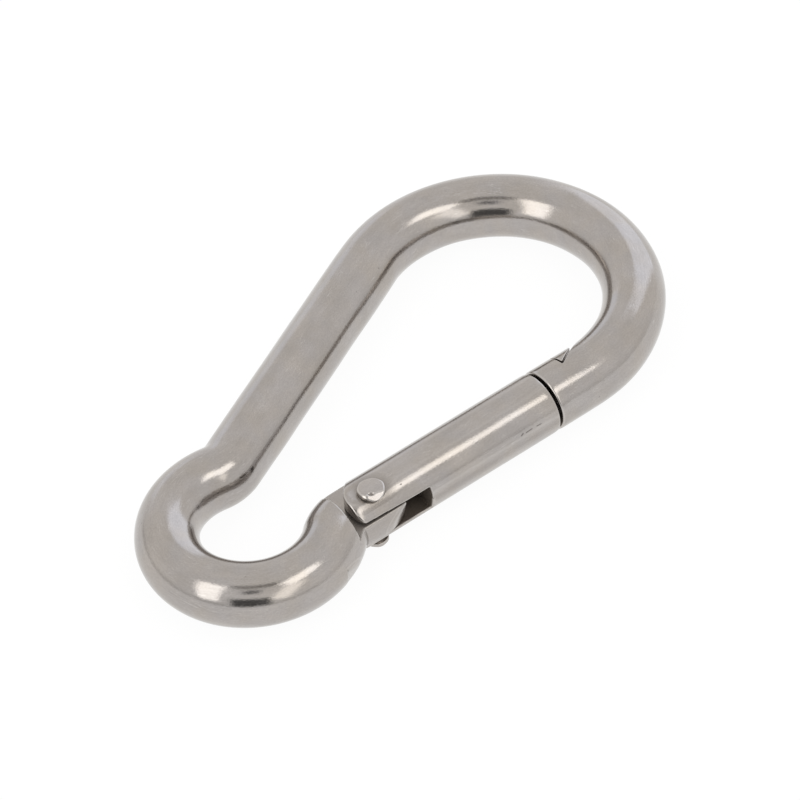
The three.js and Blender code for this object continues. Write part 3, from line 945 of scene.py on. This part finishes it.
# The white tent round the hook, as the polished steel reflects it. Each panel has the azimuth and elevation
# of its middle, its half width and half height and how far it leans, all in degrees, then how soft its edge
# is and the colour of its light.
TENT_COLOUR = (0.94, 0.93, 0.92, 1)
HORIZON_COLOUR = (0.74, 0.73, 0.72, 1)
FLOOR_SIZE = 6.0
TENT_PANELS = [
    (104, 17, 17, 29, 0, 0.03, (1.32, 1.36, 1.45, 1)),
    (154, 2, 10, 17, 0, 0.04, (1.08, 1.1, 1.15, 1)),
    (35, 1.6, 26, 1.1, 0, 0.3, (0.7, 0.69, 0.68, 1)),
    (-50, 69, 14, 5.5, 0, 0.04, (0.35, 0.34, 0.33, 1)),
    (-53, 52, 6, 6, 0, 0.05, (0.2, 0.2, 0.21, 1)),
    (-53, 16, 17, 13, 0, 0.05, (0.12, 0.12, 0.12, 1)),
    (-18, 32, 9, 18, 35, 0.06, (1.75, 1.72, 1.66, 1)),
    (12, 57, 14, 8.5, 0, 0.03, (2.35, 2.32, 2.26, 1)),
    (-97, 38, 10, 26, -14.6, 0.04, (2.35, 2.32, 2.26, 1)),
]


def direction(azimuth, elevation):
    """Unit vector towards a point seen from the hook, azimuth 0 in front (-Y) and 90 to the right (+X)."""
    around = math.radians(azimuth)
    level = math.cos(math.radians(elevation))
    return Vector((math.sin(around) * level, -math.cos(around) * level, math.sin(math.radians(elevation))))


def make_camera():
    camera = bpy.data.objects.new("camera", bpy.data.cameras.new("camera"))
    bpy.context.scene.collection.objects.link(camera)
    camera.data.lens = CAMERA_LENS
    camera.data.sensor_width = 36
    camera.data.clip_start = 0.01
    back = direction(CAMERA_AZIMUTH, CAMERA_ELEVATION)
    level = direction(CAMERA_AZIMUTH + 90, 0)
    rise = back.cross(level)
    right = math.cos(CAMERA_ROLL) * level - math.sin(CAMERA_ROLL) * rise
    up = math.sin(CAMERA_ROLL) * level + math.cos(CAMERA_ROLL) * rise
    turn = Matrix((right, up, back)).transposed().to_4x4()
    camera.matrix_world = Matrix.Translation(CAMERA_TARGET + CAMERA_DISTANCE * back) @ turn
    bpy.context.scene.camera = camera


def make_floor():
    """Plain white paper, lit mostly by its own glow, so that the hook's shadow on it stays faint."""
    corners = [(x * FLOOR_SIZE, y * FLOOR_SIZE, 0) for x, y in ((-1, -1), (1, -1), (1, 1), (-1, 1))]
    mesh = bpy.data.meshes.new("studio_floor")
    mesh.from_pydata(corners, [], [(0, 1, 2, 3)])
    floor = bpy.data.objects.new("studio_floor", mesh)
    bpy.context.scene.collection.objects.link(floor)
    material = bpy.data.materials.new("floor_paper")
    material.use_nodes = True
    shader = material.node_tree.nodes["Principled BSDF"]
    shader.inputs["Base Color"].default_value = (0.07, 0.07, 0.07, 1)
    shader.inputs["Roughness"].default_value = 0.9
    shader.inputs["Specular IOR Level"].default_value = 0.0
    shader.inputs["Emission Color"].default_value = (1, 1, 1, 1)
    shader.inputs["Emission Strength"].default_value = 0.94
    mesh.materials.append(material)


def make_world():
    """The tent: its plain wall, a dull strip low down on its left (-X) side, and the panels over them."""
    world = bpy.data.worlds.new("white_tent")
    bpy.context.scene.world = world
    world.use_nodes = True
    world.node_tree.nodes.clear()
    nodes = Nodes(world.node_tree)
    ray = nodes.add("ShaderNodeTexCoord").outputs["Generated"]

    def towards(vector):
        return nodes.vector("DOT_PRODUCT", ray, vector, "Value")

    def within(value, half_width, softness):
        off_middle = nodes.math("ABSOLUTE", value)
        return nodes.remap(off_middle, half_width + softness, half_width - softness, 0.0, 1.0)

    horizon = within(nodes.math("SUBTRACT", towards((0, 0, 1)), 0.07), 0.06, 0.03)
    left_side = nodes.remap(towards(direction(-85, 0)), -0.2, 0.0, 0.0, 1.0)
    colour = nodes.mix(nodes.product(horizon, left_side), TENT_COLOUR, HORIZON_COLOUR)
    for azimuth, elevation, half_width, half_height, lean, softness, light in TENT_PANELS:
        middle = direction(azimuth, elevation)
        level = direction(azimuth + 90, 0)
        rise = middle.cross(level)
        lean = math.radians(lean)
        ahead = nodes.larger(towards(middle), 0.001)
        across = nodes.math("DIVIDE", towards(math.cos(lean) * level - math.sin(lean) * rise), ahead)
        upward = nodes.math("DIVIDE", towards(math.sin(lean) * level + math.cos(lean) * rise), ahead)
        panel = nodes.product(
            within(across, math.tan(math.radians(half_width)), softness),
            within(upward, math.tan(math.radians(half_height)), softness),
        )
        colour = nodes.mix(panel, colour, light)
    background = nodes.add("ShaderNodeBackground", {"Color": colour, "Strength": 1.0})
    nodes.add("ShaderNodeOutputWorld", {"Surface": background.outputs[0]})


# ---- Scene ----

make_camera()
make_world()
make_floor()
bpy.context.scene.view_settings.view_transform = "Standard"

body = make_body()
scratches = [(on_bar(start), on_bar(end)) for start, end in SHOULDER_SCRATCHES]
body.data.materials.append(
    steel("body_steel", (0.415, 0.388, 0.367), 0.08, brushing=0.5, scratch_lines=scratches)
)
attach(body, "hook_body")
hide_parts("body")

gate = make_gate()
gate.data.materials.append(steel("gate_steel", (0.42, 0.393, 0.372), 0.09, brushing=0.5, nicks=GATE_NICKS))
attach(gate, "gate_assembly")
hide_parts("gate")

rivet = make_rivet()
rivet.data.materials.append(steel("rivet_steel", (0.44, 0.412, 0.39), 0.14, brushing=0.5, pitting=0.2))
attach(rivet, "gate_assembly")
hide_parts("hinge_rivet")

plunger = make_plunger()
plunger.data.materials.append(steel("plunger_steel", (0.3, 0.27, 0.235), 0.35, brushing=1.0))
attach(plunger, "plunger_body")
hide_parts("plunger")

spring = make_spring()
spring.data.materials.append(steel("spring_wire", (0.4, 0.385, 0.37), 0.3, brushing=0.8, pitting=0.2))
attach(spring, "gate_assembly")
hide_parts("return_spring")
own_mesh(spring)
